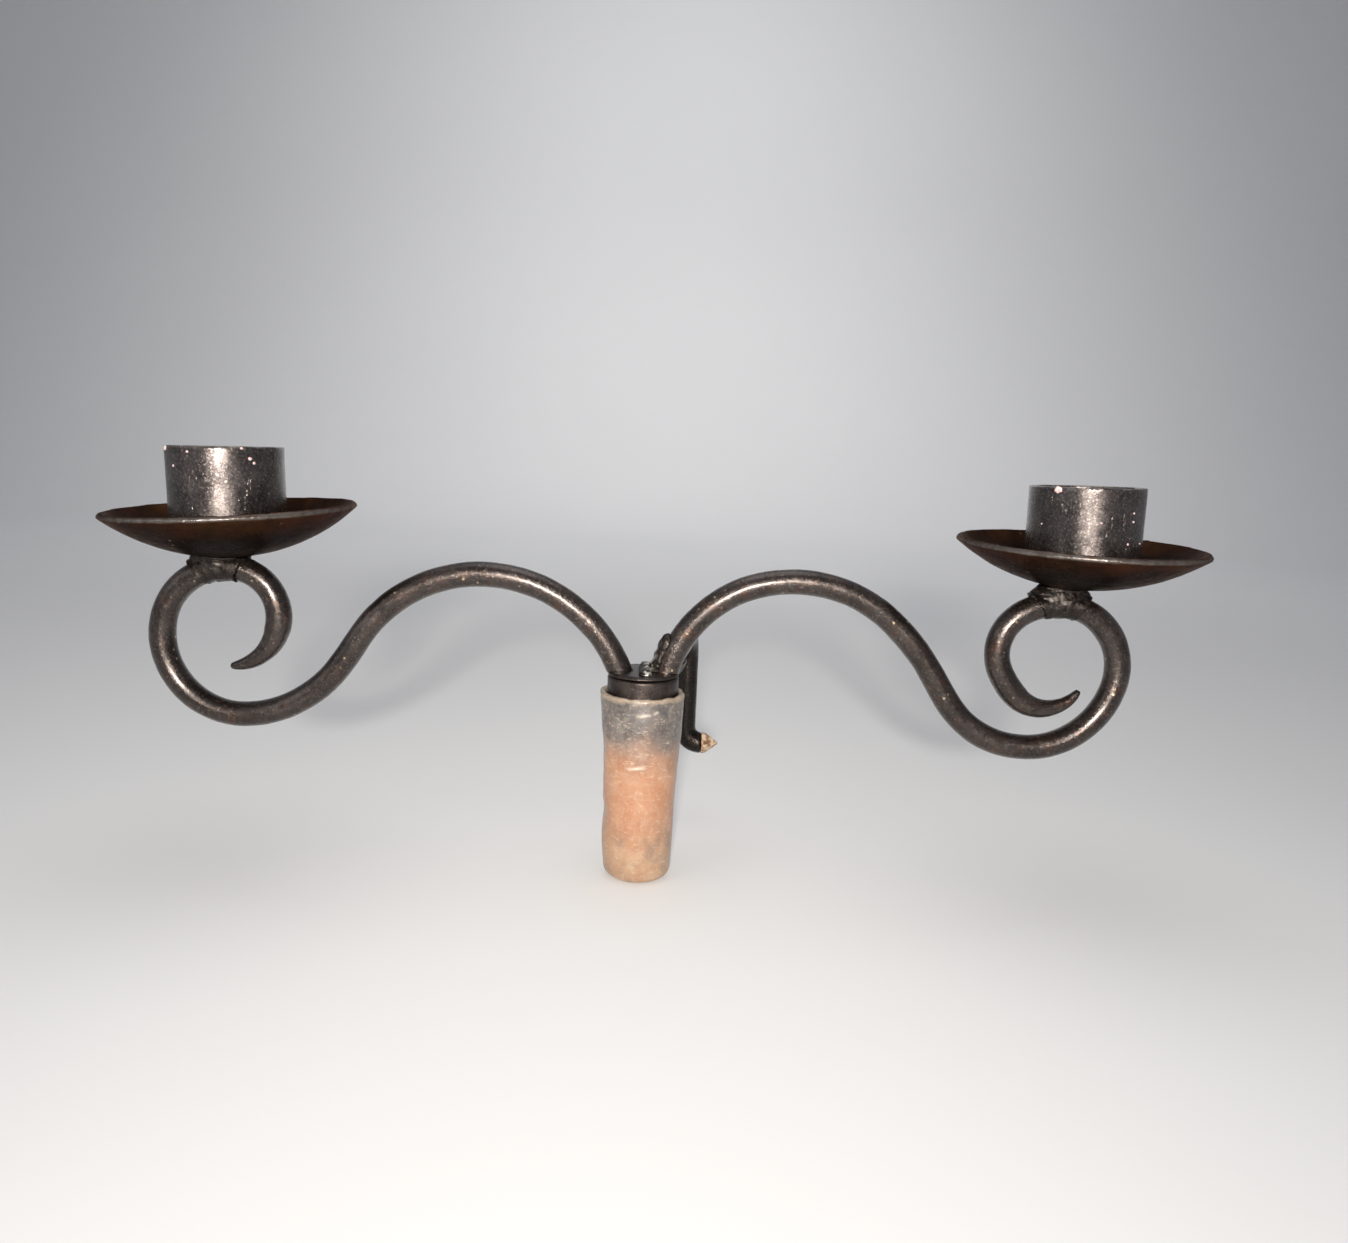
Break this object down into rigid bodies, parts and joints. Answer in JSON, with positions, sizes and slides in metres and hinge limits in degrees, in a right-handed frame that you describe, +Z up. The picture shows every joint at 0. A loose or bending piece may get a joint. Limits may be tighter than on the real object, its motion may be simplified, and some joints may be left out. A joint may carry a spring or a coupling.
{
  "type": "candle holder",
  "caption": "Two-arm scrolled iron candle holder: drip pans and candle cups on curled rod arms that swivel on a tapered plug, with a rear hook for a wall rail.",
  "frame": {"origin": "on the plug's axis, at the top face of the ferrule, which is the plane the arm foot swivels on", "axes": "+X along the two arms towards the right-hand candle cup seen from the front, +Y back towards the wall, +Z up along the plug's axis"},
  "size_m": [0.253, 0.0728, 0.1001],
  "materials": {
    "forged_bar": "dark oiled black-brown, semi-gloss",
    "pressed_steel": "dark gunmetal, satin with scuffs",
    "cup_steel": "mottled gunmetal, semi-gloss",
    "weld_metal": "rough bead",
    "collar_steel": "dark turned steel",
    "bright_toe": "bare cut end, warm grey",
    "core_wood": "bare turned wood",
    "sleeve_plastic": "translucent, milky at the top and amber-peach below"
  },
  "bodies": {
    "sleeve": {"plug_sleeve": "sleeve_plastic"},
    "stem": {"ferrule": "collar_steel", "plug_core": "core_wood"},
    "holder": {"left_arm": "forged_bar", "right_arm": "forged_bar", "left_drip_pan": "pressed_steel", "right_drip_pan": "pressed_steel", "left_candle_cup": "cup_steel", "right_candle_cup": "cup_steel", "left_cup_weld": "weld_metal", "right_cup_weld": "weld_metal", "left_pan_weld": "weld_metal", "right_pan_weld": "weld_metal", "arm_foot": "collar_steel", "swivel_spigot": "collar_steel", "retaining_washer": "collar_steel", "root_weld": "weld_metal", "wall_hook": "forged_bar", "hook_toe": "bright_toe", "hook_weld": "weld_metal"}
  },
  "joints": [
    {"name": "sleeve_pull_off", "type": "slide", "parent": "sleeve", "child": "stem", "axis": [0, 0, 1], "range_m": [0, 0.05]},
    {"name": "arm_swivel", "type": "hinge", "parent": "stem", "child": "holder", "pos_m": [0, 0, 0], "axis": [0, 0, 1], "continuous": true}
  ]
}
